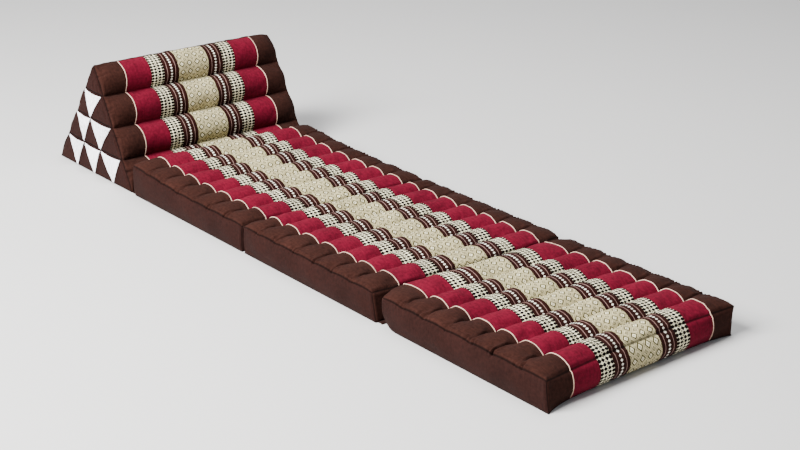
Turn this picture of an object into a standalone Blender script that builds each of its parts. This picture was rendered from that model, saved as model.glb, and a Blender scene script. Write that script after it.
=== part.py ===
"""Thai triangle cushion with its three-fold mattress, opened out flat on the floor.

One cover is sewn into four filled cushions: a three-sided prism to lean on and three mats.
Rows of stitching across the cover divide each of them into firm rolls.
Units are metres, +Z is up, +X runs from the prism to the foot of the last mat, and the
origin is the middle of the footprint, on the floor.
"""
import math

import bmesh
import bpy

COLLECTION = "thai_triangle_cushion"

# Sizes along X are measured from the fold between the prism and the first mat, and sizes
# along Y from halfway between the mats' side seams.
HALF_WIDTH = 0.250          # centre line to side seam
PRISM_DEPTH = 0.334         # footprint of the prism, from its back edge to the fold
PRISM_FRONT = -0.006        # front bottom edge, tucked in at the fold
PRISM_ROWS = 4              # rolls on each face of the prism
RIDGE_NEAR = (-0.142, 0.281)    # x and z of the ridge at the -Y end
RIDGE_FAR = (-0.160, 0.272)     # the same at the +Y end, where the ridge has sunk a little
FRONT_SWELL = 0.023         # how far a front roll stands out between its seams
BACK_SWELL = 0.013
FRONT_END_FULLNESS = 0.30   # share of its swell that a front roll keeps at its ends
BACK_END_FULLNESS = 0.25
PRISM_SEAM_SINK = 0.004     # the stitching pulls each seam this far into the prism
PRISM_END_SWELL = 0.005     # padding of the flat ends
PRISM_END_SEAM = 0.4        # share of that padding left where the ends are sewn across
PRISM_STRETCH = 1.022       # the prism is filled a little wider than the mats
PRISM_OFFSET = 0.0055       # and stands this much to their +Y side
PRESSED_AT = -0.0008        # the bottom roll is pressed flat here by the first mat

FOOT = 1.385                # outermost point of the foot end
SEAM_HEIGHT = 0.0600        # height of the side seams and of the stitching between rolls
SEAM_LIFT = 0.0025          # a side seam rises this much beside each roll
ROLL_RISE = 0.0170          # crest of a roll above its stitching
ROLL_FULLNESS = 0.65        # exponent of the roll's outline: smaller is fuller
HEAD_LIFT_REACH = 0.200     # length over which a pushed-up head comes down again
BORDER_FILL = 0.009         # the stitching rises this much where it crosses a brown border
MAT_CROWN = 7               # exponent of the crown across a mat: larger is squarer
PRISM_CROWN = 12            # the same for the prism
CORNER_SQUARENESS = 6       # exponent with which the walls' swell fades at the corners
DRAWN_SQUARENESS = 2        # the same for the foot's top seam, which is drawn in
FOLD_SKEW = 0.012           # the +Y ends of the folds lie this much nearer the foot
FOLD_SLUMP = 0.07           # the mats are this share thinner there, where they have settled
SIDE_WALL = (0.2530, 0.2575, HALF_WIDTH)    # half width at the floor, halfway up, at the seam

# The mats. Each end wall has its x at the floor, halfway up and at the top seam. The bulges are
# how far the middles of the two top seams stand out, and the skews and slumps are those of the
# head and of the foot.
MAT_COLUMNS = ("name", "head_wall", "seams", "foot_wall", "bulges", "head_lift", "skews", "slumps")
MATS = (
    ("mat_1", (0.0080, 0.0008, 0.0060), (0.073, 0.134, 0.197, 0.263, 0.327, 0.391),
     (0.4560, 0.4590, 0.4566), (0.0, 0.0), 0.012, (0.004, FOLD_SKEW), (0.03, FOLD_SLUMP)),
    ("mat_2", (0.4640, 0.4610, 0.4634), (0.517, 0.580, 0.646, 0.711, 0.772, 0.835),
     (0.9060, 0.9105, 0.9010), (0.0, 0.006), 0.0, (FOLD_SKEW, FOLD_SKEW),
     (FOLD_SLUMP, FOLD_SLUMP)),
    ("mat_3", (0.9300, 0.9160, 0.9310), (0.992, 1.054, 1.118, 1.184, 1.244, 1.310),
     (1.3830, FOOT, 1.3830), (0.019, -0.012), 0.0, (FOLD_SKEW, 0.0), (FOLD_SLUMP, 0.0)),
)

# Cuts that give each cushion its facets, as shares of a roll and of the walls' height.
ROLL_CUTS = (0.0, 0.10, 0.30, 0.5, 0.70, 0.90)
END_ROLL_CUT = 0.03         # one more cut beside each end seam
WALL_CUTS = (0.0, 0.2, 0.5, 0.82, 1.0)
BORDER_CUTS = (0.218, 0.237, HALF_WIDTH)    # cuts across each brown border
PANEL_CUTS = (0.0, 0.090)                   # cuts across the woven panel, from its middle
END_COLUMNS = (0.0, 0.2, 0.5, 0.8, 1.0)

PANEL_MIDDLE = 0.0030       # the woven panel is sewn in this much off the centre line
PIPING_AT = 0.1875          # middle of the woven panel to the middle of the piping
PIPING_WIDTH = 0.0044
PIPING_SEAT = 0.0090        # width of the level stretch below the piping
BORDER_START = PANEL_MIDDLE + PIPING_AT + PIPING_SEAT / 2   # the borders rise from here out
PIPING_HEIGHT = 0.0020
PIPING_TAPER = 0.55         # its top is this share of its width
FOLD_STRIP_THICKNESS = 0.0012
FOLD_STRIP_HALF_LENGTH = 0.245
STEEPEST_TOP = 0.3          # a path's normal leans more than this only on an end wall
GAP = 0.0004                # clearance between pieces that touch
TINY = 1e-6
WELD = 1e-5                 # corners nearer than this are one
SMOOTH_UP_TO = math.radians(35)

# The fold strips: name, first and last x, height of the underside, skew and slump.
FOLD_STRIPS = (
    ("fold_strip_1", -0.0050, 0.0068, 0.0004, 0.0, 0.0),
    ("fold_strip_2", 0.4571, 0.4629, 0.0594, FOLD_SKEW, FOLD_SLUMP),
    ("fold_strip_3", 0.9070, 0.9285, 0.0004, FOLD_SKEW, 0.0),
)

LOWEST_Y = -SIDE_WALL[1]
HIGHEST_Y = HALF_WIDTH * PRISM_STRETCH + PRISM_OFFSET + PRISM_END_SWELL
MIDDLE = ((FOOT - PRISM_DEPTH) / 2, (LOWEST_Y + HIGHEST_Y) / 2)

# Colours are linear RGB, with a roughness.
BROWN_COTTON = ((0.060, 0.022, 0.016), 0.92)
CREAM_COTTON = ((0.70, 0.55, 0.44), 0.85)
FOLD_CLOTH = ((0.045, 0.018, 0.014), 0.92)


def clear_scene():
    """Remove the objects that the file opened with."""
    for thing in list(bpy.data.objects):
        bpy.data.objects.remove(thing, do_unlink=True)


def cotton(name, finish):
    """Return a matt cotton material of its own for one piece."""
    colour, roughness = finish
    material = bpy.data.materials.new(name + "_cotton")
    material.use_nodes = True
    shader = material.node_tree.nodes["Principled BSDF"]
    shader.inputs["Base Color"].default_value = (*colour, 1.0)
    shader.inputs["Roughness"].default_value = roughness
    shader.inputs["Metallic"].default_value = 0.0
    return material


def cut_box(name, cuts, place, finish, collection):
    """Cut a box at the given x, y and z, move each corner with place, and add the piece."""
    lows = [axis_cuts[0] for axis_cuts in cuts]
    highs = [axis_cuts[-1] for axis_cuts in cuts]
    shape = bmesh.new()
    bmesh.ops.create_cube(shape, size=1.0)
    for vert in shape.verts:
        vert.co = [low if part < 0 else high for part, low, high in zip(vert.co, lows, highs)]
    for axis, axis_cuts in enumerate(cuts):
        normal = [float(axis == other) for other in range(3)]
        for at in axis_cuts[1:-1]:
            everything = shape.verts[:] + shape.edges[:] + shape.faces[:]
            bmesh.ops.bisect_plane(shape, geom=everything, dist=TINY, plane_no=normal,
                                   plane_co=[at * part for part in normal])
    for vert in shape.verts:
        vert.co = place(*vert.co)
    bmesh.ops.remove_doubles(shape, verts=shape.verts[:], dist=WELD)
    flat = [face for face in shape.faces if all(abs(vert.co.z) < TINY for vert in face.verts)]
    if flat:
        bmesh.ops.dissolve_faces(shape, faces=flat)
    bmesh.ops.translate(shape, verts=shape.verts[:], vec=(-MIDDLE[0], -MIDDLE[1], 0.0))
    bmesh.ops.recalc_face_normals(shape, faces=shape.faces[:])
    mesh = bpy.data.meshes.new(name)
    shape.to_mesh(mesh)
    shape.free()
    mesh.shade_smooth()
    mesh.set_sharp_from_angle(angle=SMOOTH_UP_TO)
    mesh.materials.append(cotton(name, finish))
    piece = bpy.data.objects.new(name, mesh)
    collection.objects.link(piece)
    return piece


def width_cuts():
    """Return the places across a cushion where it is cut, from -Y to +Y."""
    seat = (PIPING_AT - PIPING_SEAT / 2, PIPING_AT + PIPING_SEAT / 2)
    cuts = {PANEL_MIDDLE + side * out for side in (-1, 1) for out in PANEL_CUTS + seat}
    return sorted(cuts | {side * out for side in (-1, 1) for out in BORDER_CUTS})


def roll_height(share):
    """Return a roll's height, 0 at its stitching and 1 at its crest."""
    return max(0.0, math.sin(math.pi * share)) ** ROLL_FULLNESS


def parabola(points, share):
    """Return the curve through its values at 0, 0.5 and 1."""
    low, middle, high = points
    return (low * (2 * share - 1) * (share - 1) + middle * 4 * share * (1 - share)
            + high * share * (2 * share - 1))


def blend(ends, share):
    """Return the value at a share of the way between two."""
    return ends[0] + (ends[1] - ends[0]) * share


def fade(share, squareness):
    """Return 1 in the middle of an edge, falling to 0 at its ends, for a share from -1 to 1."""
    return 1.0 - min(1.0, abs(share)) ** squareness


def roll_of(seams, at):
    """Return the share of the roll at the given place, from the list of its seams."""
    for start, end in zip(seams, seams[1:]):
        if at <= end + TINY:
            return min(1.0, max(0.0, (at - start) / (end - start)))
    return 1.0


def mat_seams(mat):
    """Return every seam across a mat, with its two end seams."""
    return [mat["head_wall"][2], *mat["seams"], mat["foot_wall"][2]]


def mat_cuts(mat):
    """Return the places along a mat where its rolls are cut."""
    seams = mat_seams(mat)
    cuts = [start + share * (end - start)
            for start, end in zip(seams, seams[1:]) for share in ROLL_CUTS]
    first = seams[0] + END_ROLL_CUT * (seams[1] - seams[0])
    last = seams[-1] - END_ROLL_CUT * (seams[-1] - seams[-2])
    return sorted(cuts + [first, last, seams[-1]])


def mat_top(mat, x, y):
    """Return the height of a mat's top at one place."""
    seams = mat_seams(mat)
    share = roll_height(roll_of(seams, x))
    across = min(1.0, abs(y) / HALF_WIDTH)
    crown = (1.0 - across ** MAT_CROWN) ** 0.5
    lift = mat["head_lift"] * max(0.0, 1.0 - (x - seams[0]) / HEAD_LIFT_REACH)
    in_border = max(0.0, (abs(y) - BORDER_START) / (HALF_WIDTH - BORDER_START))
    from_ends = min(1.0, (x - seams[0]) / (seams[1] - seams[0]),
                    (seams[-1] - x) / (seams[-1] - seams[-2]))
    fill = BORDER_FILL * math.sin(math.pi * min(1.0, in_border))
    lift += (1.0 - share) * fill * max(0.0, from_ends)
    return SEAM_HEIGHT + lift + share * (ROLL_RISE * crown + SEAM_LIFT * (1.0 - crown))


def end_wall(wall, height, y, bulge):
    """Return the x of an end wall, which bellies out between its corners."""
    low, middle, high = wall
    across = fade(y / HALF_WIDTH, CORNER_SQUARENESS)
    straight = (low + high) / 2
    middle = straight + (middle - straight) * across
    top_squareness = DRAWN_SQUARENESS if wall[1] == FOOT else CORNER_SQUARENESS
    high += bulge * fade(y / HALF_WIDTH, top_squareness)
    return parabola((low, middle, high), height)


def mat_place(mat, x, y, height):
    """Move one corner of a cut box onto a mat: height is 0 at the floor and 1 on top."""
    seams = mat_seams(mat)
    head = end_wall(mat["head_wall"], height, y, -mat["bulges"][0]) - seams[0]
    foot = end_wall(mat["foot_wall"], height, y, mat["bulges"][1]) - seams[-1]
    near_head = max(0.0, 1.0 - (x - seams[0]) / (seams[1] - seams[0]))
    near_foot = max(0.0, 1.0 - (seams[-1] - x) / (seams[-1] - seams[-2]))
    top = mat_top(mat, x, y)
    along = (x - seams[0]) / (seams[-1] - seams[0])
    low, middle, high = SIDE_WALL
    middle = high + (middle - high) * fade(2.0 * along - 1.0, CORNER_SQUARENESS)
    width = parabola((low, middle, high), height)
    to_far_side = y / HALF_WIDTH / 2 + 0.5
    askew = blend(mat["skews"], along) * to_far_side
    settled = 1.0 - blend(mat["slumps"], along) * to_far_side
    x += near_head * head + near_foot * foot + askew
    return x, y / HALF_WIDTH * width, height * top * settled


def make_mat(mat, collection):
    """Build one mat as a single filled solid."""
    cuts = (mat_cuts(mat), width_cuts(), WALL_CUTS)
    return cut_box(mat["name"], cuts, lambda *spot: mat_place(mat, *spot), BROWN_COTTON,
                   collection)


def prism_outline(down, y, front):
    """Return x and z on the prism's front or back face, down being 0 at the ridge, 1 at the floor."""
    along = (y / HALF_WIDTH + 1.0) / 2.0
    ridge_x, ridge_z = [blend(ends, along) for ends in zip(RIDGE_NEAR, RIDGE_FAR)]
    foot_x = PRISM_FRONT if front else -PRISM_DEPTH
    run = foot_x - ridge_x
    slope = math.hypot(run, ridge_z)
    out_x, out_z = abs(ridge_z) / slope * (1 if front else -1), abs(run) / slope
    share = roll_of([row / PRISM_ROWS for row in range(PRISM_ROWS + 1)], down)
    across = (1.0 - min(1.0, abs(y) / HALF_WIDTH) ** PRISM_CROWN) ** 0.5
    at_end = FRONT_END_FULLNESS if front else BACK_END_FULLNESS
    fullness = at_end + (1.0 - at_end) * across
    swell = (FRONT_SWELL if front else BACK_SWELL) * roll_height(share) * fullness
    on_seam = 0.0 if down < TINY or down > 1.0 - TINY else PRISM_SEAM_SINK
    out = swell - on_seam * (1.0 - roll_height(share))
    x = ridge_x + run * down + out_x * out
    z = ridge_z * (1.0 - down) + out_z * out
    return min(x, PRESSED_AT), max(0.0, z)


def prism_place(across, y, down):
    """Move one corner of a cut box onto the prism: across is 0 at the back and 1 at the front."""
    back_x, back_z = prism_outline(down, y, False)
    front_x, front_z = prism_outline(down, y, True)
    x = back_x + (front_x - back_x) * across
    z = back_z + (front_z - back_z) * across
    on_end = abs(y) > HALF_WIDTH - TINY and down < 1.0 - TINY
    row_share = roll_of([row / PRISM_ROWS for row in range(PRISM_ROWS + 1)], down)
    padding = blend((PRISM_END_SEAM, 1.0), roll_height(row_share))
    padding *= fade(2.0 * across - 1.0, 2) * min(1.0, down * PRISM_ROWS)
    out = PRISM_END_SWELL * padding if on_end else 0.0
    return x, y * PRISM_STRETCH + PRISM_OFFSET + math.copysign(out, y), z


def make_prism(collection):
    """Build the triangle cushion as a single filled solid."""
    cuts = (END_COLUMNS, width_cuts(), prism_cuts())
    return cut_box("triangle_cushion", cuts, prism_place, BROWN_COTTON, collection)


def offset_path(path, distance):
    """Move an x, z path to its left by a distance, with mitred corners and square-cut ends."""
    moved = []
    for index, (x, z) in enumerate(path):
        before = path[max(0, index - 1)]
        after = path[min(len(path) - 1, index + 1)]
        normals = []
        for start, end in ((before, (x, z)), ((x, z), after)):
            length = math.hypot(end[0] - start[0], end[1] - start[1])
            if length > TINY:
                normals.append(((start[1] - end[1]) / length, (end[0] - start[0]) / length))
        mean_x = sum(normal[0] for normal in normals) / len(normals)
        mean_z = sum(normal[1] for normal in normals) / len(normals)
        square = mean_x ** 2 + mean_z ** 2
        if len(normals) == 2:
            moved.append((x + distance * mean_x / square, z + distance * mean_z / square))
        elif mean_z > STEEPEST_TOP:
            moved.append((x, z + distance / mean_z))
        else:
            moved.append((x + distance / mean_x, z))
    return moved


def make_piping(name, path, across, collection):
    """Lay a run of piping along an x, z path on a cushion, clear of the cloth below it."""
    layers = [offset_path(path, GAP), offset_path(path, GAP + PIPING_HEIGHT)]

    def place(step, y, layer):
        x, z = layers[round(layer)][round(step)]
        taper = PIPING_TAPER if round(layer) else 1.0
        return x, across + y * taper, z

    steps = [float(step) for step in range(len(path))]
    cuts = (steps, [-PIPING_WIDTH / 2, PIPING_WIDTH / 2], [0.0, 1.0])
    return cut_box(name, cuts, place, CREAM_COTTON, collection)


def mat_piping_path(mat, across):
    """Return the line over a mat's rolls on which its piping lies, from head to foot."""
    spots = [(x, 1.0) for x in mat_cuts(mat)]
    if mat["name"] == "mat_3":
        spots += [(mat["foot_wall"][2], height) for height in WALL_CUTS[-2:0:-1]]
    return [mat_place(mat, x, across, height)[::2] for x, height in spots]


def prism_cuts():
    """Return the places down the prism where its rolls are cut, as shares of its height."""
    downs = [(row + share) / PRISM_ROWS for row in range(PRISM_ROWS) for share in ROLL_CUTS]
    return sorted(downs + [END_ROLL_CUT / PRISM_ROWS, 1.0])


def prism_piping_path(across):
    """Return the line down the prism's front on which its piping lies."""
    last = (PRISM_ROWS - 1 + ROLL_CUTS[1]) / PRISM_ROWS
    return [prism_outline(down, across, True) for down in prism_cuts() if down <= last + TINY]


def make_fold_strip(name, first, last, height, skew, slump, collection):
    """Build the width of cover cloth that crosses one fold."""

    def place(x, y, z):
        to_far_side = y / HALF_WIDTH / 2 + 0.5
        return x + skew * to_far_side, y, z * (1.0 - slump * to_far_side)

    cuts = ((first, last), (-FOLD_STRIP_HALF_LENGTH, FOLD_STRIP_HALF_LENGTH),
            (height, height + FOLD_STRIP_THICKNESS))
    return cut_box(name, cuts, place, FOLD_CLOTH, collection)


def main():
    clear_scene()
    collection = bpy.data.collections.new(COLLECTION)
    bpy.context.scene.collection.children.link(collection)
    make_prism(collection)
    mats = [dict(zip(MAT_COLUMNS, row)) for row in MATS]
    for mat in mats:
        make_mat(mat, collection)
    for side_name, side in (("left", 1), ("right", -1)):
        across = PANEL_MIDDLE + side * PIPING_AT
        on_prism = across * PRISM_STRETCH + PRISM_OFFSET
        make_piping("triangle_piping_" + side_name, prism_piping_path(across), on_prism,
                    collection)
        for mat in mats:
            path = mat_piping_path(mat, across)
            make_piping(mat["name"] + "_piping_" + side_name, path, across, collection)
    for strip in FOLD_STRIPS:
        make_fold_strip(*strip, collection)


main()
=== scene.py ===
import math

import bpy
import numpy as np
from mathutils import Matrix, Vector


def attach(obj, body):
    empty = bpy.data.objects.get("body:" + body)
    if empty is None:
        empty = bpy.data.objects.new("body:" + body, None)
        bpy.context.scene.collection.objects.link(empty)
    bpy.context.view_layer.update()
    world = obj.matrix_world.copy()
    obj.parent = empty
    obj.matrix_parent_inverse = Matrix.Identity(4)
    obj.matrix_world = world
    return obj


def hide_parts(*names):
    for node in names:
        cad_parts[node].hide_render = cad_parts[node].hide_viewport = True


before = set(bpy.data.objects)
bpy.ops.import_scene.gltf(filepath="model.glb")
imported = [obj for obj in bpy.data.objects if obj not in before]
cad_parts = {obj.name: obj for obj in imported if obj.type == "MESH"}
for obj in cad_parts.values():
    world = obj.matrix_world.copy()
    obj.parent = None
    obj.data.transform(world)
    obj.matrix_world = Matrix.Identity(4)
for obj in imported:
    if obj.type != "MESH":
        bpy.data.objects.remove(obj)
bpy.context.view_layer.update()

# The camera stands off the near corner of the foot end, three and a half metres away and above
# the cushion, with a short telephoto lens, and leans over by half a degree.
LENS = 72.53                # on a sensor 36 mm wide
CAMERA_AT = Vector((2.6023, -2.0407, 1.3366))
AZIMUTH, ELEVATION, LEAN = math.radians(50.1716), math.radians(21.6816), math.radians(0.5186)

camera_data = bpy.data.cameras.new("camera")
camera_data.lens = LENS
camera_data.sensor_width = 36.0
camera = bpy.data.objects.new("camera", camera_data)
bpy.context.scene.collection.objects.link(camera)
backwards = Vector((math.sin(AZIMUTH) * math.cos(ELEVATION),
                    -math.cos(AZIMUTH) * math.cos(ELEVATION), math.sin(ELEVATION)))
rightwards = Vector((0.0, 0.0, 1.0)).cross(backwards).normalized()
upright = Matrix((rightwards, backwards.cross(rightwards), backwards)).transposed()
turned = upright @ Matrix.Rotation(LEAN, 3, "Z")
camera.matrix_world = Matrix.Translation(CAMERA_AT) @ turned.to_4x4()
bpy.context.scene.camera = camera

# A bright room's light: a wide soft window light from the near side and above, a weaker one
# over the far side, and a pale sky that fills the shadows. The floor is plain and pale.
LIGHTS = (
    ("window_light", (-0.1, -3.1, 2.7), (0.0, 0.0, 0.0), 2.2, 660.0),
    ("ceiling_light", (-0.3, 0.6, 3.4), (0.1, 0.0, 0.0), 2.6, 92.0),
)
for name, place, aim, size, power in LIGHTS:
    light_data = bpy.data.lights.new(name, "AREA")
    light_data.size = size
    light_data.energy = power
    light = bpy.data.objects.new(name, light_data)
    light.location = place
    light.rotation_euler = (Vector(aim) - Vector(place)).to_track_quat("-Z", "Y").to_euler()
    bpy.context.scene.collection.objects.link(light)
sky = bpy.data.worlds.new("sky")
sky.use_nodes = True
sky.node_tree.nodes["Background"].inputs["Color"].default_value = (0.90, 0.93, 1.0, 1.0)
sky.node_tree.nodes["Background"].inputs["Strength"].default_value = 0.34
bpy.context.scene.world = sky

bpy.ops.object.select_all(action="DESELECT")
bpy.ops.mesh.primitive_plane_add(size=14.0, location=(0.0, 0.0, 0.0))
floor = bpy.context.object
floor.name = "floor"
floor_paint = bpy.data.materials.new("floor_paint")
floor_paint.use_nodes = True
floor_shader = floor_paint.node_tree.nodes["Principled BSDF"]
floor_shader.inputs["Base Color"].default_value = (0.66, 0.65, 0.635, 1.0)
floor_shader.inputs["Roughness"].default_value = 0.6
floor.data.materials.append(floor_paint)

# The three mats of the fold-out mattress. Each is a cotton case with a woven panel on top,
# sewn right across into seven channels and packed with kapok, so that each channel stands up
# as a firm roll. The case is gathered where the channels end in the side seams.
FOLD = Vector((-0.5255, -0.00425, 0.0))     # the fold behind the first mat, at its middle
HALF_WIDTH = 0.250          # centre line to side seam
FOOT = 1.388                # outermost point of the foot end, from that fold
SEAM_HEIGHT = 0.0600        # height of the side seams and of the stitching between rolls
SEAM_LIFT = 0.0025          # a side seam rises this much beside each roll
ROLL_RISE = 0.0170          # crest of a roll above its stitching
SEWN_RISE = 0.95            # share of that rise which a roll has before it is filled
MAT_FILL_MOST = 0.006       # no cloth of a mat moves further than this as it is filled
ROLL_FULLNESS = 0.62        # exponent of a roll's outline: smaller is fuller
HEAD_LIFT_REACH = 0.200     # length over which a pushed-up head comes down again
BORDER_FILL = 0.009         # the stitching rises this much where it crosses a brown border
MAT_CROWN = 7               # exponent of the crown across a mat: larger is squarer
CORNER_SQUARENESS = 6       # exponent with which the walls' swell fades at the corners
FOOT_CORNERS = (0.022, 0.014)   # the foot's near and far floor corners stand out this far
DRAWN_SQUARENESS = 2        # the same for the foot's top seam, which is drawn in
SIDE_WALL = (0.2495, 0.2575, HALF_WIDTH)    # half width at the floor, halfway up, at the seam
PANEL_MIDDLE = 0.0030       # the woven panel is sewn in this much off the centre line
PIPING_AT = 0.1875          # middle of the woven panel to the piping beside it
BORDER_START = 0.195        # the stitching starts to rise this far from the centre line
MATS = (
    {"name": "mat_1", "head": (0.0080, 0.0008, 0.0060), "foot": (0.4560, 0.4590, 0.4566),
     "seams": (0.073, 0.134, 0.197, 0.263, 0.327, 0.391),
     "bulges": (0.0, 0.0), "head_lift": 0.012, "skews": (0.004, 0.012), "slumps": (0.03, 0.07)},
    {"name": "mat_2", "head": (0.4640, 0.4610, 0.4634), "foot": (0.9150, 0.9110, 0.9010),
     "seams": (0.517, 0.580, 0.646, 0.711, 0.772, 0.835),
     "bulges": (0.0, 0.006), "head_lift": 0.0, "skews": (0.012, 0.012), "slumps": (0.07, 0.07)},
    {"name": "mat_3", "head": (0.9300, 0.9160, 0.9310), "foot": (1.3710, FOOT, 1.3830),
     "seams": (0.992, 1.054, 1.118, 1.184, 1.244, 1.310),
     "bulges": (0.019, -0.012), "head_lift": 0.0, "skews": (0.012, 0.0), "slumps": (0.07, 0.0)},
)
CUT_LONGER = (-0.015, -0.09)    # how much longer the cloth is cut in the panel, at a side seam
GATHERS_START = 0.205       # the gathers reach in to this far from the centre line
STITCHED_TO = 0.218         # the stitching between rolls ends this far from the centre line
SEAM_PULL = 0.0018          # a sewn edge is pulled in this much between the cloths it joins
SEAM_REACH = 0.0024         # width over which the cloth turns down into such a seam
SEAM_ROLL = 0.0009          # the cloth stands up this much beside it
PUCKER = (0.0011, 0.011, 0.009)     # height, spacing and reach of the puckers along a side seam
CREASE_SPREAD = 0.016       # the creases at a roll's end start within this of its seam
CREASES_EACH = 6
CREASE_REACH = (0.014, 0.040)
CREASE_WIDTH = (0.0017, 0.0026)
CREASE_DEPTH = (0.0020, 0.0042)
CREASE_BANK = (0.45, 1.9)   # beside a crease: share of its depth, and how many widths away
CREASE_FAN = 0.45           # share of its offset by which a crease turns to its seam
CREASE_SHADOW = (0.0024, 0.30)  # a crease is as dark as cloth this near a seam, less a share of its depth
VALLEY_CREASE = (0.0046, 0.0026, 0.238)     # depth, width and end of the crease past a roll's seam
ROUNDED = {"mat_1": 0.006, "mat_3": 0.002}  # the near corner at the head is rounded over this length
LIFTED_CORNER = (0.008, 0.022)  # the last mat's stands this far off the floor, over this length
FOOT_EAR = (0.0030, 0.014)  # the foot's top corners are pulled out this far, over this length
TOP_UNEVEN = (0.0008, 0.075)    # how uneven the filling leaves the cloth, and how far apart
WALL_UNEVEN = (0.0012, 0.090)
ROLL_CELLS = 12             # cells along one roll
BORDER_CELLS = 12           # cells across one brown border
PANEL_CELLS = 54            # cells across the woven panel
WALL_CELLS = 9              # cells up a side wall


def lengths_along(line):
    """Return the length of a line of points up to each of them."""
    return np.append(0.0, np.cumsum(np.linalg.norm(np.diff(line, axis=0), axis=1)))


def gridded_box(name, counts):
    """Add a box cut into whole cells: its corners lie at 0 and at the count on each axis."""
    bpy.ops.object.select_all(action="DESELECT")
    bpy.ops.mesh.primitive_cube_add(size=1.0, location=(0.0, 0.0, 0.0))
    box = bpy.context.object
    box.name = name
    box.data.name = name
    for vert in box.data.vertices:
        vert.co = [(part + 0.5) * count for part, count in zip(vert.co, counts)]
    for axis, count in enumerate(counts):
        bpy.ops.object.mode_set(mode="EDIT")
        bpy.ops.mesh.select_mode(type="EDGE")
        bpy.ops.mesh.select_all(action="DESELECT")
        bpy.ops.object.mode_set(mode="OBJECT")
        spots = mesh_points(box.data)
        ends = np.empty(len(box.data.edges) * 2, int)
        box.data.edges.foreach_get("vertices", ends)
        runs = np.abs(spots[ends[1::2]] - spots[ends[::2]])
        box.data.edges.foreach_set("select", runs[:, axis] > count / 2)
        bpy.ops.object.mode_set(mode="EDIT")
        bpy.ops.mesh.subdivide(number_cuts=count - 1)
        bpy.ops.object.mode_set(mode="OBJECT")
    return box


def mesh_points(mesh):
    """Return a mesh's points as rows of x, y and z."""
    points = np.empty(len(mesh.vertices) * 3)
    mesh.vertices.foreach_get("co", points)
    return points.reshape(-1, 3)


def set_points(mesh, points):
    """Move a mesh's points to rows of x, y and z."""
    mesh.vertices.foreach_set("co", np.asarray(points, float).ravel())
    mesh.update()


def parabola(points, share):
    """Return the curve through its values at 0, 0.5 and 1."""
    low, middle, high = points
    return (low * (2 * share - 1) * (share - 1) + middle * 4 * share * (1 - share)
            + high * share * (2 * share - 1))


def fade(share, squareness):
    """Return 1 in the middle of an edge, falling to 0 at its ends, for a share from -1 to 1."""
    return 1.0 - np.minimum(1.0, np.abs(share)) ** squareness


def blend(ends, share):
    """Return the value at a share of the way between two."""
    return ends[0] + (ends[1] - ends[0]) * share


def roll_height(share):
    """Return a roll's height, 0 at its stitching and 1 at its crest."""
    return np.maximum(0.0, np.sin(np.pi * share)) ** ROLL_FULLNESS


def roll_share(seams, at):
    """Return how far along its own roll each place lies, from the places of the seams."""
    seams = np.asarray(seams)
    row = np.clip(np.searchsorted(seams, at + 1e-7, side="right") - 1, 0, len(seams) - 2)
    return np.clip((at - seams[row]) / (seams[row + 1] - seams[row]), 0.0, 1.0)


def unevenness(one, two, reach, seed):
    """Return a smooth unevenness from -1 to 1 over a surface, its hills about a reach apart."""
    draw = np.random.default_rng(seed)
    total = np.zeros_like(one)
    for heading in draw.uniform(0.0, 2.0 * np.pi, 9):
        turn = draw.uniform(0.7, 1.6) * 2.0 * np.pi / reach
        start = draw.uniform(0.0, 2.0 * np.pi)
        total += np.sin((one * np.cos(heading) + two * np.sin(heading)) * turn + start)
    return total / 4.5


def stations(ends, cells):
    """Return even places from one end to the other."""
    return np.linspace(ends[0], ends[1], cells + 1)


def roll_stations(seams, cells):
    """Return places along a row of rolls, closer together beside the stitching."""
    even = np.arange(cells) / cells
    gathered = 0.5 * even + 0.25 * (1.0 - np.cos(np.pi * even))
    places = [start + gathered * (end - start) for start, end in zip(seams, seams[1:])]
    return np.append(np.concatenate(places), seams[-1])


near_piping, far_piping = PANEL_MIDDLE - PIPING_AT, PANEL_MIDDLE + PIPING_AT
ACROSS = np.concatenate((stations((-HALF_WIDTH, near_piping), BORDER_CELLS)[:-1],
                         stations((near_piping, far_piping), PANEL_CELLS),
                         stations((far_piping, HALF_WIDTH), BORDER_CELLS)[1:]))


def mat_top(mat, seams, x, y, rise):
    """Return the height of a mat's top."""
    height = roll_height(roll_share(seams, x))
    across = np.minimum(1.0, np.abs(y) / HALF_WIDTH)
    crown = (1.0 - across ** MAT_CROWN) ** 0.5
    lift = mat["head_lift"] * np.maximum(0.0, 1.0 - (x - seams[0]) / HEAD_LIFT_REACH)
    in_border = np.clip((np.abs(y) - BORDER_START) / (HALF_WIDTH - BORDER_START), 0.0, 1.0)
    from_ends = np.clip(np.minimum((x - seams[0]) / (seams[1] - seams[0]),
                                   (seams[-1] - x) / (seams[-1] - seams[-2])), 0.0, 1.0)
    lift = lift + (1.0 - height) * BORDER_FILL * np.sin(np.pi * in_border) * from_ends
    return SEAM_HEIGHT + lift + height * (rise * crown + SEAM_LIFT * (1.0 - crown))


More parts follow.
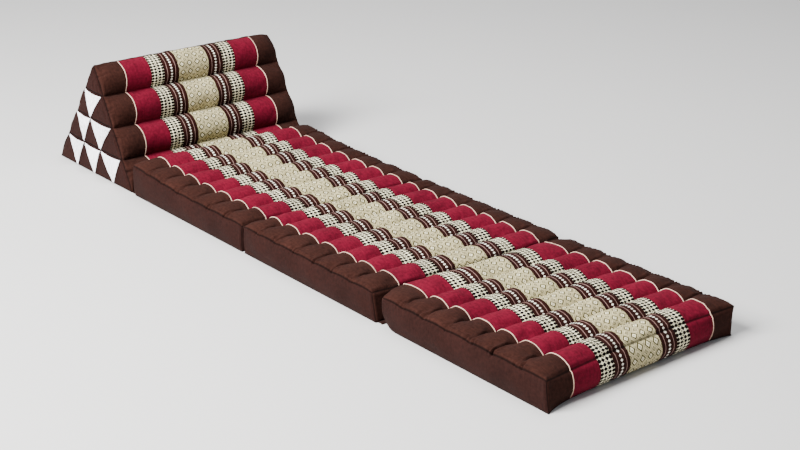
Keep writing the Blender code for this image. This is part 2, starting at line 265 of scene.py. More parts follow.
def mat_shape(mat, x, y, height, rise=ROLL_RISE):
    """Return the points of a mat, for places on its pattern and shares of its height."""
    seams = (mat["head"][2], *mat["seams"], mat["foot"][2])
    belly = fade(y / HALF_WIDTH, CORNER_SQUARENESS)
    walls = []
    for (low, middle, high), bulge in ((mat["head"], -mat["bulges"][0]), (mat["foot"], mat["bulges"][1])):
        if middle == FOOT:
            low = low + blend(FOOT_CORNERS, y / HALF_WIDTH / 2 + 0.5) * (1.0 - belly)
        straight = (low + high) / 2
        squareness = DRAWN_SQUARENESS if middle == FOOT else CORNER_SQUARENESS
        top = high + bulge * fade(y / HALF_WIDTH, squareness)
        middle = straight + (middle - straight) * belly
        walls.append(parabola((low, middle, top), height) - high)
    near_head = np.maximum(0.0, 1.0 - (x - seams[0]) / (seams[1] - seams[0]))
    near_foot = np.maximum(0.0, 1.0 - (seams[-1] - x) / (seams[-1] - seams[-2]))
    along = (x - seams[0]) / (seams[-1] - seams[0])
    low, middle, high = SIDE_WALL
    middle = high + (middle - high) * fade(2.0 * along - 1.0, CORNER_SQUARENESS)
    to_far_side = y / HALF_WIDTH / 2 + 0.5
    z = mat_top(mat, seams, x, y, rise) * height * (1.0 - blend(mat["slumps"], along) * to_far_side)
    moved = x + near_head * walls[0] + near_foot * walls[1] + blend(mat["skews"], along) * to_far_side
    wide = y / HALF_WIDTH * parabola((low, middle, high), height)
    return np.stack((moved + FOLD.x, wide + FOLD.y, z), axis=1)


def face_corners(mesh):
    """Return the mesh point of each face corner, and the face that it belongs to."""
    point_of = np.empty(len(mesh.loops), int)
    mesh.loops.foreach_get("vertex_index", point_of)
    sizes = np.empty(len(mesh.polygons), int)
    mesh.polygons.foreach_get("loop_total", sizes)
    return point_of, np.repeat(np.arange(len(sizes)), sizes)


def face_means(mesh, values):
    """Return the mean over each face of values that belong to its points."""
    point_of, face_of = face_corners(mesh)
    sums = np.zeros((len(mesh.polygons), values.shape[1]))
    np.add.at(sums, face_of, values[point_of])
    return sums / np.bincount(face_of)[:, None]


def lay_cloth_map(mesh, corners):
    """Set the cloth's own map of a mesh, in metres, from a place for each face corner."""
    layer = mesh.uv_layers[0] if mesh.uv_layers else mesh.uv_layers.new()
    layer.name = "cloth"
    layer.uv.foreach_set("vector", corners.astype(np.float32).ravel())


def note_on_points(mesh, name, values):
    """Keep one number for each point of a mesh, under a name."""
    note = mesh.attributes.new(name, "FLOAT", "POINT")
    note.data.foreach_set("value", np.asarray(values, np.float32))


def noted(mesh, name):
    """Return the numbers kept for a mesh's points under a name."""
    values = np.empty(len(mesh.vertices), np.float32)
    mesh.attributes[name].data.foreach_get("value", values)
    return values.astype(float)


def fill_case(case, held, gathers, most):
    """Blow a sewn case up from inside between the seams that are held, and keep the swell.

    The cloth is cut a little longer than it is sewn, and most of all where gathers is 1, so
    that it crumples there. No point moves further than the most.
    """
    sewn = mesh_points(case.data)
    pins = case.vertex_groups.new(name="held")
    pins.add(np.flatnonzero(held).tolist(), 1.0, "REPLACE")
    loose = case.vertex_groups.new(name="gathered")
    for index, weight in enumerate(gathers):
        loose.add([index], float(weight), "REPLACE")
    filling = case.modifiers.new("filling", "CLOTH")
    cloth = filling.settings
    cloth.quality = 5
    cloth.mass = 0.02
    cloth.tension_stiffness = 15.0
    cloth.compression_stiffness = 15.0
    cloth.shear_stiffness = 5.0
    cloth.bending_stiffness = 0.05
    cloth.use_pressure = True
    cloth.uniform_pressure_force = 4.0
    cloth.effector_weights.gravity = 0.0
    cloth.vertex_group_mass = "held"
    cloth.vertex_group_shrink = "gathered"
    cloth.shrink_min = CUT_LONGER[0]
    cloth.shrink_max = CUT_LONGER[1]
    for step in range(1, 21):
        bpy.context.scene.frame_set(step)
    blown = case.evaluated_get(bpy.context.evaluated_depsgraph_get())
    moved = mesh_points(blown.data) - sewn
    case.modifiers.remove(filling)
    case.vertex_groups.clear()
    bpy.context.scene.frame_set(1)
    length = np.linalg.norm(moved, axis=1, keepdims=True)
    moved *= np.minimum(1.0, most / np.maximum(length, 1e-9))
    set_points(case.data, sewn + moved)


def pick(piece):
    """Select one piece alone and make it the active one."""
    bpy.ops.object.select_all(action="DESELECT")
    piece.select_set(True)
    bpy.context.view_layer.objects.active = piece


def round_once(piece, creased):
    """Subdivide a piece once, with the edges between creased points kept tight."""
    mesh = piece.data
    ends = np.empty(len(mesh.edges) * 2, int)
    mesh.edges.foreach_get("vertices", ends)
    tight = np.where(creased[ends[::2]] & creased[ends[1::2]], 0.85, 0.0)
    crease = mesh.attributes.new("crease_edge", "FLOAT", "EDGE")
    crease.data.foreach_set("value", tight.astype(np.float32))
    pick(piece)
    finer = piece.modifiers.new("finer", "SUBSURF")
    finer.levels = finer.render_levels = 1
    bpy.ops.object.modifier_apply(modifier=finer.name)
    bpy.ops.object.shade_smooth()


def mesh_normals(mesh):
    """Return a mesh's outward directions at its points."""
    normals = np.empty(len(mesh.vertices) * 3, np.float32)
    mesh.vertex_normals.foreach_get("vector", normals)
    return normals.reshape(-1, 3)


def creases(along, inward, starts, draw):
    """Return the depth of the small creases that fan in from a gathered seam at each start."""
    depth = np.zeros_like(along)
    for start in starts:
        for offset in draw.uniform(-CREASE_SPREAD, CREASE_SPREAD, CREASES_EACH):
            reach = draw.uniform(*CREASE_REACH) * (1.0 - 0.5 * abs(offset) / CREASE_SPREAD)
            line = start + offset * (1.0 - CREASE_FAN * inward / reach)
            away = np.abs(along - line) / draw.uniform(*CREASE_WIDTH)
            fading = np.clip(1.0 - inward / reach, 0.0, 1.0) ** 0.8
            fold = np.exp(-away ** 2) - CREASE_BANK[0] * np.exp(-(away - CREASE_BANK[1]) ** 2)
            depth += draw.uniform(*CREASE_DEPTH) * fading * fold
    return depth


def seam_profile(seam):
    """Return how far the cloth stands out, for its distance from the nearest seam."""
    return (SEAM_ROLL * np.exp(-((seam - 2.4 * SEAM_REACH) / SEAM_REACH) ** 2)
            - SEAM_PULL * np.exp(-(seam / SEAM_REACH) ** 2))


def crumple_mat(case, mat, seed):
    """Pull in a mat's seams, crease its gathered borders and leave its filling uneven. Keep each point's
    distance to the nearest seam or crease, which the cottons darken into painted shade.
    """
    mesh = case.data
    x, y, height = (noted(mesh, name) for name in ("along", "across", "height"))
    seams = (mat["head"][2], *mat["seams"], mat["foot"][2])
    draw = np.random.default_rng(seed)
    on_top, level = height > 0.999, height < 0.001
    to_side = HALF_WIDTH - np.abs(y)
    to_end = np.minimum(x - seams[0], seams[-1] - x)
    at_ends = to_end < 1e-4
    on_side = ~on_top & ~level & (to_side < 1e-4)
    on_edge = ~on_top & ~level
    top_seam = np.where(on_top, np.minimum(to_side, to_end), (1.0 - height) * SEAM_HEIGHT)
    floor_seam = np.where(level, np.minimum(to_side, to_end), height * SEAM_HEIGHT)
    floor_seam[on_top] = 1.0
    corner_seam = np.where(on_edge, np.where(on_side, to_end, to_side), 1.0)
    # The distance to the nearest seam, kept as "seam", gives the painted shade along the seams and the
    # floor edge.
    seam = np.minimum.reduce((top_seam, floor_seam, corner_seam))
    out = seam_profile(seam) * ~level
    for side in (-1, 1):
        mine = on_top & (y * side > 0.0) & ~at_ends
        folds = creases(x[mine], to_side[mine], seams[1:-1], draw)
        out[mine] -= folds
        # Painted shade in each crease, deeper creases darker.
        seam[mine] = np.minimum(seam[mine], CREASE_SHADOW[0] - CREASE_SHADOW[1] * folds)
        high, spacing, reach = PUCKER
        pucker = unevenness(x, x * 0.0, spacing, seed + 10 + side)
        from_seam = np.where(on_top, to_side, (1.0 - height) * 2.0 * SEAM_HEIGHT)
        near_seam = np.exp(-(from_seam / reach) ** 2)
        out += high * pucker * near_seam * (y * side > 0.15) * (on_top | on_side)
    out += TOP_UNEVEN[0] * unevenness(x, y, TOP_UNEVEN[1], seed) * on_top
    wall_uneven = WALL_UNEVEN[0] * unevenness(x, height * SEAM_HEIGHT, WALL_UNEVEN[1], seed + 1)
    out += wall_uneven * on_edge * fade(2.0 * height - 1.0, 2)
    deep, wide, last = VALLEY_CREASE
    from_row = np.min([np.abs(x - row) for row in seams[1:-1]], axis=0)
    share = np.clip((np.abs(y) - BORDER_START) / (last - BORDER_START), 0.0, 1.0)
    out -= deep * np.exp(-(from_row / wide) ** 2) * np.sin(np.pi * share) ** 0.5 * on_top
    # Painted shade along the valley crease past each roll's seam.
    past_crease = np.maximum(0.0, np.abs(y) - last + 0.012) / 6.0
    painted_valley_shade = np.where(on_top & (np.abs(y) > BORDER_START), from_row + past_crease, 1.0)
    seam = np.minimum(seam, painted_valley_shade)
    moved = mesh_normals(mesh) * out[:, None]
    reach = ROUNDED.get(mat["name"])
    if reach:
        from_corner = np.hypot(x - seams[0], y + HALF_WIDTH)
        inward = 0.62 * reach * np.exp(-(from_corner / reach) ** 2)
        moved[:, 0] += inward * 0.7
        moved[:, 1] += inward * 0.7
        # The rounded corner gets no painted seam shade.
        seam[(corner_seam <= seam) & (from_corner < 0.02)] = 0.02
    if mat["name"] == "mat_3":
        from_corner = np.hypot(np.hypot(x - seams[0], y + HALF_WIDTH), height * SEAM_HEIGHT)
        lifted = LIFTED_CORNER[0] * np.exp(-(from_corner / LIFTED_CORNER[1]) ** 2)
        moved += lifted[:, None] * (0.6, 0.6, 1.0)
        from_corner = np.hypot(np.hypot(seams[-1] - x, to_side), (1.0 - height) * SEAM_HEIGHT)
        ear = FOOT_EAR[0] * np.exp(-(from_corner / FOOT_EAR[1]) ** 2)
        moved += ear[:, None] * np.stack((0.5 + 0.0 * y, 0.5 * np.sign(y), 0.8 + 0.0 * y), axis=1)
    points = mesh_points(mesh) + moved
    points[:, 2] = np.maximum(points[:, 2], 0.0)
    set_points(mesh, points)
    note_on_points(mesh, "seam", seam)


def thread_maker(tree):
    """Return short ways to add a calculation, a colour mix and any other node to a tree."""

    def connect(value, socket):
        if hasattr(value, "links"):
            tree.links.new(value, socket)
        else:
            socket.default_value = value

    def work(operation, *values):
        node = tree.nodes.new("ShaderNodeMath")
        node.operation = operation
        for value, socket in zip(values, node.inputs):
            connect(value, socket)
        return node.outputs[0]

    def dye(mask, under, over):
        node = tree.nodes.new("ShaderNodeMix")
        node.data_type = "RGBA"
        for value, index in ((mask, 0), (under, 6), (over, 7)):
            connect(value, node.inputs[index])
        return node.outputs[2]

    def add(kind, **settings):
        node = tree.nodes.new("ShaderNode" + kind)
        for name, value in settings.items():
            if name in node.inputs:
                connect(value, node.inputs[name])
            else:
                setattr(node, name, value)
        return node

    return work, dye, add


def colour_of(red, green, blue):
    """Return the linear colour, with alpha, of a colour given as it looks on a screen."""
    parts = [part / 255 for part in (red, green, blue)]
    linear = [part / 12.92 if part < 0.04045 else ((part + 0.055) / 1.055) ** 2.4 for part in parts]
    return (*linear, 1.0)


def new_group(name, inputs, outputs):
    """Start a node group with these sockets, and return it with its two end nodes."""
    tree = bpy.data.node_groups.new(name, "ShaderNodeTree")
    for way, sockets in (("INPUT", inputs), ("OUTPUT", outputs)):
        for socket, kind in sockets.items():
            tree.interface.new_socket(socket, in_out=way, socket_type="NodeSocket" + kind)
    return tree, tree.nodes.new("NodeGroupInput"), tree.nodes.new("NodeGroupOutput")


def make_cloth_grain():
    """Build the group for plain woven cotton: its threads, and its faded and darker places."""
    tree, source, result = new_group("cloth_grain", {"Spot": "Vector", "Thread": "Float"},
                                     {"Threads": "Float", "Fading": "Float"})
    work, dye, add = thread_maker(tree)
    place = add("SeparateXYZ", Vector=source.outputs["Spot"])
    turns = work("DIVIDE", 2.0 * math.pi, source.outputs["Thread"])
    warp = work("SINE", work("MULTIPLY", place.outputs["X"], turns))
    weft = work("SINE", work("MULTIPLY", place.outputs["Y"], turns))
    crossing = work("MULTIPLY_ADD", work("MULTIPLY", warp, weft), 0.5, 0.5)
    slubs = add("TexNoise", Vector=source.outputs["Spot"], Scale=420.0, Detail=2.0)
    tree.links.new(work("MULTIPLY_ADD", slubs.outputs["Fac"], 0.6, work("MULTIPLY", crossing, 0.7)),
                   result.inputs["Threads"])
    broad = add("TexNoise", Vector=source.outputs["Spot"], Scale=9.0, Detail=3.0)
    fine = add("TexNoise", Vector=source.outputs["Spot"], Scale=160.0, Detail=3.0)
    streaked = add("Mapping", Vector=source.outputs["Spot"])
    streaked.inputs["Scale"].default_value = (1.0, 0.12, 1.0)
    streaks = add("TexNoise", Vector=streaked.outputs[0], Scale=420.0, Detail=2.0)
    fading = work("ADD", work("MULTIPLY", broad.outputs["Fac"], 0.35),
                  work("MULTIPLY", fine.outputs["Fac"], 0.40))
    fading = work("ADD", fading, work("MULTIPLY", streaks.outputs["Fac"], 0.25))
    tree.links.new(fading, result.inputs["Fading"])
    return tree


cloth_grain = make_cloth_grain()

BAND_PITCH = 0.0073         # one row of the woven checks and dots
CENTRE_EDGE = 0.0425        # the bands' edges, from the middle of the woven panel
STRIPES_EDGE = 0.0842
CHECK_EDGE = 0.1187
DIAMOND_PITCH = (0.02125, 0.0205)
DIAMOND_OUTLINE = (0.0118, 0.0009)  # a ring: how far from the diamond's middle, and half its width
DIAMOND_RING = (0.0068, 0.0018)
DIAMOND_HEART, DIAMOND_DOT, DIAMOND_RAISED = 0.0050, 0.0015, 0.0060
SMALL_RING, SMALL_DOT = (0.0036, 0.0009), 0.0012
ROSE_LINE = (0.0114, 0.0006)        # how far from a stripe's middle, and half its width
WHITE_DOT = (0.0031, 0.0024)        # half its size, across and along
CHECK_DOT = (0.0024, 0.0018)
CHECK_LINE = 0.0005
CHECK_MARK = (0.0052, 0.0044, 0.0034)   # how far from the check's middle, and half its size
CHECK_TOOTH = (0.0146, 0.0050, 0.0034)
GROUND_CREAM = colour_of(192, 181, 142)
LIGHT_CREAM = colour_of(222, 213, 178)
OLIVE = colour_of(72, 66, 38)
KHAKI = colour_of(148, 138, 98)
STRIPE_BROWN = colour_of(38, 15, 11)
STRIPE_LINE = colour_of(154, 122, 114)
DOT_CREAM = colour_of(238, 232, 216)
CHECK_CREAM = colour_of(236, 229, 196)
CHECK_BLACK = colour_of(16, 10, 10)
CRIMSON = colour_of(92, 11, 31)


def make_woven_bands():
    """Build the group for the woven panel's bands, from a spot across and along the cloth."""
    tree, source, result = new_group("woven_bands", {"Spot": "Vector"},
                                     {"Color": "Color", "Relief": "Float"})
    work, dye, add = thread_maker(tree)
    place = add("SeparateXYZ", Vector=source.outputs["Spot"])
    across = work("ABSOLUTE", place.outputs["X"])
    along = place.outputs["Y"]

    def from_centres(value, pitch, shift=0.0):
        part = work("FRACT", work("ADD", work("DIVIDE", value, pitch), shift))
        return work("MULTIPLY", work("ABSOLUTE", work("SUBTRACT", part, 0.5)), pitch)

    def around(value, middle):
        return work("ABSOLUTE", work("SUBTRACT", value, middle))

    def lozenge(one, two, half_one, half_two):
        span = work("ADD", work("DIVIDE", one, half_one), work("DIVIDE", two, half_two))
        return work("LESS_THAN", span, 1.0)

    def grain_shape(one, two, half_one, half_two):
        wide, tall = work("DIVIDE", one, half_one), work("DIVIDE", two, half_two)
        span = work("ADD", work("POWER", wide, 1.4), work("POWER", tall, 1.4))
        return work("LESS_THAN", span, 1.0)

    def ring(value, middle, half):
        return work("LESS_THAN", around(value, middle), half)

    row = from_centres(along, BAND_PITCH)
    between_rows = from_centres(along, BAND_PITCH, 0.5)

    # The cream centre: rows of outlined diamonds, small ones between, and a faint lattice.
    one = from_centres(across, DIAMOND_PITCH[0])
    two = from_centres(along, DIAMOND_PITCH[1])
    large = work("ADD", one, two)
    small = work("SUBTRACT", sum(DIAMOND_PITCH) / 2, large)
    flecks = add("TexNoise", Vector=source.outputs["Spot"], Scale=330.0, Detail=2.0)
    flecked = work("MULTIPLY", work("GREATER_THAN", flecks.outputs["Fac"], 0.54), 0.45)
    colour = dye(flecked, GROUND_CREAM, KHAKI)
    colour = dye(ring(large, *DIAMOND_OUTLINE), colour, KHAKI)
    colour = dye(ring(large, *DIAMOND_RING), colour, OLIVE)
    colour = dye(work("LESS_THAN", large, DIAMOND_HEART), colour, LIGHT_CREAM)
    colour = dye(work("LESS_THAN", large, DIAMOND_DOT), colour, OLIVE)
    colour = dye(ring(small, *SMALL_RING), colour, OLIVE)
    colour = dye(work("LESS_THAN", small, SMALL_DOT), colour, OLIVE)
    raised = work("LESS_THAN", large, DIAMOND_RAISED)

    # The brown stripes: a row of white dots between two thin rose lines.
    from_stripe = around(across, (CENTRE_EDGE + STRIPES_EDGE) / 2)
    stripe = dye(ring(from_stripe, *ROSE_LINE), STRIPE_BROWN, STRIPE_LINE)
    dots = grain_shape(from_stripe, row, *WHITE_DOT)
    stripe = dye(dots, stripe, DOT_CREAM)
    colour = dye(work("GREATER_THAN", across, CENTRE_EDGE), colour, stripe)

    # The check: black marks on cream, in rows, and black teeth along both of its edges.
    from_check = around(across, (STRIPES_EDGE + CHECK_EDGE) / 2)
    check = dye(lozenge(from_check, row, *CHECK_DOT), CHECK_CREAM, OLIVE)
    check = dye(work("LESS_THAN", between_rows, CHECK_LINE), check, OLIVE)
    check = dye(grain_shape(around(from_check, CHECK_MARK[0]), between_rows, *CHECK_MARK[1:]),
                check, CHECK_BLACK)
    colour = dye(work("GREATER_THAN", across, STRIPES_EDGE), colour, check)
    colour = dye(work("GREATER_THAN", across, CHECK_EDGE), colour, CRIMSON)
    teeth = grain_shape(around(from_check, CHECK_TOOTH[0]), between_rows, *CHECK_TOOTH[1:])
    colour = dye(teeth, colour, CHECK_BLACK)
    tree.links.new(colour, result.inputs["Color"])
    tree.links.new(work("MAXIMUM", dots, work("MULTIPLY", raised, 0.5)), result.inputs["Relief"])
    return tree


woven_bands = make_woven_bands()


SEAM_PAINTED_SHADE = (0.0006, 0.0022, 0.30, 1.0)     # painted shade along the seams and creases: where it starts and ends, and its shades


def make_cotton(name, colour, roughness, thread=0.0009, woven=False, shaded_at_seams=True):
    """Make a woven cotton that follows the cloth's own map, in one colour or in its bands, darkened near
    its seams and creases as painted shade when shaded at seams.
    """
    cotton = bpy.data.materials.new(name)
    cotton.use_nodes = True
    tree = cotton.node_tree
    work, dye, add = thread_maker(tree)
    shader = tree.nodes["Principled BSDF"]
    cloth_map = add("UVMap", uv_map="cloth")
    grain = add("Group", node_tree=cloth_grain, Spot=cloth_map.outputs["UV"], Thread=thread)
    height = grain.outputs["Threads"]
    if woven:
        bands = add("Group", node_tree=woven_bands, Spot=cloth_map.outputs["UV"])
        colour = bands.outputs["Color"]
        height = work("ADD", height, work("MULTIPLY", bands.outputs["Relief"], 0.5))
    shade = work("MULTIPLY_ADD", grain.outputs["Fading"], 3.0, -0.5)
    shade = work("MULTIPLY", shade, work("MULTIPLY_ADD", grain.outputs["Threads"], 0.30, 0.82))
    # Painted shade: the "seam" attribute darkens the cloth beside its seams, in its creases and along its
    # floor edge, where shade falls.
    if shaded_at_seams:
        seam = add("Attribute", attribute_name="seam")
        line = add("MapRange", Value=seam.outputs["Fac"])
        line.interpolation_type = "SMOOTHSTEP"
        for socket, value in zip(("From Min", "From Max", "To Min", "To Max"), SEAM_PAINTED_SHADE):
            line.inputs[socket].default_value = value
        shade = work("MULTIPLY", shade, line.outputs["Result"])
    tint = add("VectorMath", operation="MULTIPLY")
    tree.links.new(add("CombineXYZ", X=shade, Y=shade, Z=shade).outputs[0], tint.inputs[1])
    if hasattr(colour, "links"):
        tree.links.new(colour, tint.inputs[0])
    else:
        tint.inputs[0].default_value = colour[:3]
    tree.links.new(tint.outputs[0], shader.inputs["Base Color"])
    bump = add("Bump", Strength=0.35, Distance=0.0005, Height=height)
    tree.links.new(bump.outputs["Normal"], shader.inputs["Normal"])
    shader.inputs["Roughness"].default_value = roughness
    shader.inputs["Specular IOR Level"].default_value = 0.05
    shader.inputs["Sheen Weight"].default_value = 0.01
    shader.inputs["Sheen Roughness"].default_value = 0.5
    return cotton


woven_panel = make_cotton("woven_panel", CRIMSON, 0.85, woven=True)
border_cotton = make_cotton("border_cotton", colour_of(43, 22, 17), 0.9)
wall_cotton = make_cotton("wall_cotton", colour_of(35, 17, 14), 0.9)
underside_cotton = make_cotton("underside_cotton", colour_of(36, 19, 15), 0.95)
CASE_CLOTHS = (woven_panel, border_cotton, wall_cotton, underside_cotton)
WOVEN, BORDER, WALL, UNDERSIDE = range(4)   # their places in a case's list


def map_mat(case, cells, spots, top_lengths):
    """Lay the cloth's own map on a mat's case, in metres, and give each panel its cotton."""
    mesh = case.data
    counts = cells.max(axis=0)
    point_of, face_of = face_corners(mesh)
    middles = face_means(mesh, cells)
    level, end, side = [np.isclose(middles[:, axis] % counts[axis], 0.0) for axis in (2, 0, 1)]
    on_top = level & (middles[:, 2] > 0.0)
    at_foot = end & (middles[:, 0] > 0.0)
    across = spots[:, 1] - PANEL_MIDDLE
    along = top_lengths
    up = spots[:, 2] * SEAM_HEIGHT
    flat = np.stack((across, along), axis=1)[point_of]
    foot = np.stack((across, along + SEAM_HEIGHT - up), axis=1)[point_of]
    head = np.stack((across, up - SEAM_HEIGHT), axis=1)[point_of]
    wall = np.stack((along + 0.3, up), axis=1)[point_of]
    corners = np.where(on_top[face_of, None], flat, wall)
    corners = np.where((end & ~at_foot)[face_of, None], head, corners)
    corners = np.where(at_foot[face_of, None], foot, corners)
    corners = np.where((level & ~on_top)[face_of, None], flat + 0.7, corners)
    lay_cloth_map(mesh, corners)
    for cloth in CASE_CLOTHS:
        mesh.materials.append(cloth)
    middle_across = face_means(mesh, spots)[:, 1] - PANEL_MIDDLE
    in_panel = np.abs(middle_across) < PIPING_AT
    kind = np.full(len(middles), WALL)
    top_cloth = on_top | (at_foot & (case.name != "mat_case_1"))
    top_cloth |= end & ~at_foot & (case.name == "mat_case_3")
    kind[top_cloth] = np.where(in_panel[top_cloth], WOVEN, BORDER)
    kind[level & ~on_top] = UNDERSIDE
    mesh.polygons.foreach_set("material_index", kind)


def make_mat_case(number, mat):
    """Sew and fill the case of one mat."""
    seams = (mat["head"][2], *mat["seams"], mat["foot"][2])
    places = roll_stations(seams, ROLL_CELLS)
    counts = (len(places) - 1, len(ACROSS) - 1, WALL_CELLS)
    case = gridded_box(f"mat_case_{number}", counts)
    cells = np.rint(mesh_points(case.data)).astype(int)
    x, y, height = places[cells[:, 0]], ACROSS[cells[:, 1]], cells[:, 2] / WALL_CELLS
    middle_line = mat_shape(mat, places, np.zeros_like(places), np.ones_like(places))
    lengths = lengths_along(middle_line)
    spots = np.stack((x, y, height), axis=1)
    map_mat(case, cells, spots, lengths[cells[:, 0]])
    for name, values in zip(("along", "across", "height"), spots.T):
        note_on_points(case.data, name, values)
    on_top = cells[:, 2] == WALL_CELLS
    at_end = (cells[:, 0] == 0) | (cells[:, 0] == counts[0])
    at_side = (cells[:, 1] == 0) | (cells[:, 1] == counts[1])
    between = cells[:, 0] % ROLL_CELLS == 0
    stitched = on_top & (between | at_side)
    sewn = stitched | ((cells[:, 2] == 0) & (at_end | at_side)) | (at_end & at_side)
    held = ~on_top | at_side | at_end | (between & (np.abs(y) < STITCHED_TO))
    sewn &= held
    set_points(case.data, mat_shape(mat, x, y, height, ROLL_RISE * SEWN_RISE))
    to_seam = np.clip((np.abs(y) - GATHERS_START) / (HALF_WIDTH - GATHERS_START), 0.0, 1.0)
    fill_case(case, held, to_seam * on_top * ~at_side, MAT_FILL_MOST)
    round_once(case, sewn)
    crumple_mat(case, mat, number)
    return case


cases = []
for number, mat in enumerate(MATS, 1):
    case = make_mat_case(number, mat)
    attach(case, "root")
    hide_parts(mat["name"])
    cases.append(case)

# The triangle cushion that stands at the head, to lean on. It is a three-sided case, its front
# and back sewn across into four channels packed with kapok. Its ends are pieced from brown
# cotton, and its front is the woven panel with a brown border at each side.
PRISM_DEPTH = 0.347         # footprint of the prism, from its back edge to the fold
PRISM_FRONT = -0.006        # front bottom edge, tucked in at the fold
PRISM_FILL_MOST = 0.004     # none of its cloth moves further than this as it is filled
PRISM_ROWS = 4
PRISM_SEAMS = stations((0.0, 1.0), PRISM_ROWS)
RIDGE_NEAR = (-0.152, 0.2785)   # x and z of the ridge at the -Y end
RIDGE_FAR = (-0.166, 0.271)     # the same at the +Y end, where the ridge has sunk a little
BACK_ROWS_LIFT = 0.022      # the back's middle seam is sewn this share of its length higher
FRONT_SWELL = 0.023         # how far a front roll stands out between its seams
BACK_SWELL = 0.013
FRONT_END_FULLNESS = 0.05   # share of its swell that a front roll keeps at its ends
BACK_END_FULLNESS = 0.02
END_CREASES = (0.9, 0.1)    # how deep the creases are at the -Y end and the +Y end, against a mat's
SEAM_EAR = 0.0015           # a seam between rolls stands out this far at its ends
PRISM_CROWN = 12            # exponent of the crown across the prism
PRISM_SEAM_SINK = 0.004     # the stitching pulls each seam this far into the prism
PRISM_END_SWELL = 0.005     # padding of the flat ends
PRISM_END_SEAM = 0.4        # share of that padding left where the ends are sewn across
PRISM_ENDS = (-0.2475, 0.2675)      # the flat ends: the prism stands a little to the mats' +Y side
PRISM_PIPING = (-0.1831, 0.2002)    # and the places across of its two piping runs
PRESSED_AT = -0.0008        # the bottom roll is pressed flat here by the first mat
END_CELLS = 18              # cells from the back to the front of an end
RIDGE_ROUND = ((0.0025, 0.010), 0.011)  # the ridge drops this much at its ends, over this length
PRISM_ROLL_CELLS = 16       # cells down one of its rolls


def prism_outline(down, y, front):
    """Return x and z on the front or back face, down being 0 at the ridge and 1 at the floor."""
    along = (y / HALF_WIDTH + 1.0) / 2.0
    ridge_x = blend((RIDGE_NEAR[0], RIDGE_FAR[0]), along)
    ridge_z = blend((RIDGE_NEAR[1], RIDGE_FAR[1]), along)
    run = (PRISM_FRONT if front else -PRISM_DEPTH) - ridge_x
    slope = np.hypot(run, ridge_z)
    height = roll_height(roll_share(PRISM_SEAMS, down))
    if not front:
        down = down - BACK_ROWS_LIFT * np.sin(np.pi * down)
    crown = (1.0 - np.minimum(1.0, np.abs(y) / HALF_WIDTH) ** PRISM_CROWN) ** 0.5
    at_end = FRONT_END_FULLNESS if front else BACK_END_FULLNESS
    swell = (FRONT_SWELL if front else BACK_SWELL) * height * (at_end + (1.0 - at_end) * crown)
    between = (down > 1e-6) & (down < 1.0 - 1e-6)
    out = swell + blend((SEAM_EAR, -PRISM_SEAM_SINK), crown) * between * (1.0 - height)
    drop = blend(RIDGE_ROUND[0], along) * np.exp(-(HALF_WIDTH - np.abs(y)) / RIDGE_ROUND[1])
    x = ridge_x + run * down + ridge_z / slope * (1 if front else -1) * out
    z = ridge_z * (1.0 - down) + np.abs(run) / slope * out
    z = z - drop * np.clip(1.0 - down * PRISM_ROWS, 0.0, 1.0)
    return np.minimum(x, PRESSED_AT), np.maximum(0.0, z)


def prism_shape(across, y, down):
    """Return the points of the prism, across being 0 at its back and 1 at its front."""
    back_x, back_z = prism_outline(down, y, False)
    front_x, front_z = prism_outline(down, y, True)
    padding = blend((PRISM_END_SEAM, 1.0), roll_height(roll_share(PRISM_SEAMS, down)))
    padding = padding * fade(2.0 * across - 1.0, 2) * np.minimum(1.0, down * PRISM_ROWS)
    on_end = (np.abs(y) > HALF_WIDTH - 1e-6) & (down < 1.0 - 1e-6)
    out = np.where(on_end, PRISM_END_SWELL * padding, 0.0)
    sewn_at = np.interp(y, (-HALF_WIDTH, near_piping, far_piping, HALF_WIDTH),
                        (PRISM_ENDS[0], *PRISM_PIPING, PRISM_ENDS[1]))
    return np.stack((blend((back_x, front_x), across) + FOLD.x,
                     sewn_at + np.copysign(out, y) + FOLD.y,
                     blend((back_z, front_z), across)), axis=1)


def merge_points(piece):
    """Make one point of those that lie in the same place."""
    pick(piece)
    bpy.ops.object.mode_set(mode="EDIT")
    bpy.ops.mesh.select_all(action="SELECT")
    bpy.ops.mesh.remove_doubles(threshold=0.00001)
    bpy.ops.mesh.normals_make_consistent(inside=False)
    bpy.ops.object.mode_set(mode="OBJECT")


downs = roll_stations(PRISM_SEAMS, PRISM_ROLL_CELLS)
prism_cells = (END_CELLS, len(ACROSS) - 1, len(downs) - 1)
prism_case = gridded_box("triangle_case", prism_cells)
cells = np.rint(mesh_points(prism_case.data)).astype(int)
parts = (cells[:, 0] / END_CELLS, ACROSS[cells[:, 1]], downs[prism_cells[2] - cells[:, 2]])
for name, values in zip(("height", "across", "along"), parts):
    note_on_points(prism_case.data, name, values)
for name, values in zip(("cell_x", "cell_y", "cell_z"), cells.T):
    note_on_points(prism_case.data, name, values)
set_points(prism_case.data, prism_shape(*parts))
merge_points(prism_case)
mesh = prism_case.data
cells = np.rint(np.stack([noted(mesh, name) for name in ("cell_x", "cell_y", "cell_z")], axis=1))
y, down = noted(mesh, "across"), noted(mesh, "along")
middle_line = prism_shape(np.ones_like(downs), np.zeros_like(downs), downs)
lengths = lengths_along(middle_line)
face_length = lengths[prism_cells[2] - cells[:, 2].astype(int)]
point_of, face_of = face_corners(mesh)
middles = face_means(mesh, cells)
front = np.isclose(middles[:, 0], prism_cells[0])
ends = np.isclose(middles[:, 1] % prism_cells[1], 0.0)
points = mesh_points(mesh)
flat = np.stack((y - PANEL_MIDDLE, face_length), axis=1)[point_of]
side_on = np.stack((points[:, 0], points[:, 2]), axis=1)[point_of]
corners = np.where(ends[face_of, None], side_on, flat)
lay_cloth_map(mesh, corners)
for cloth in CASE_CLOTHS:
    mesh.materials.append(cloth)
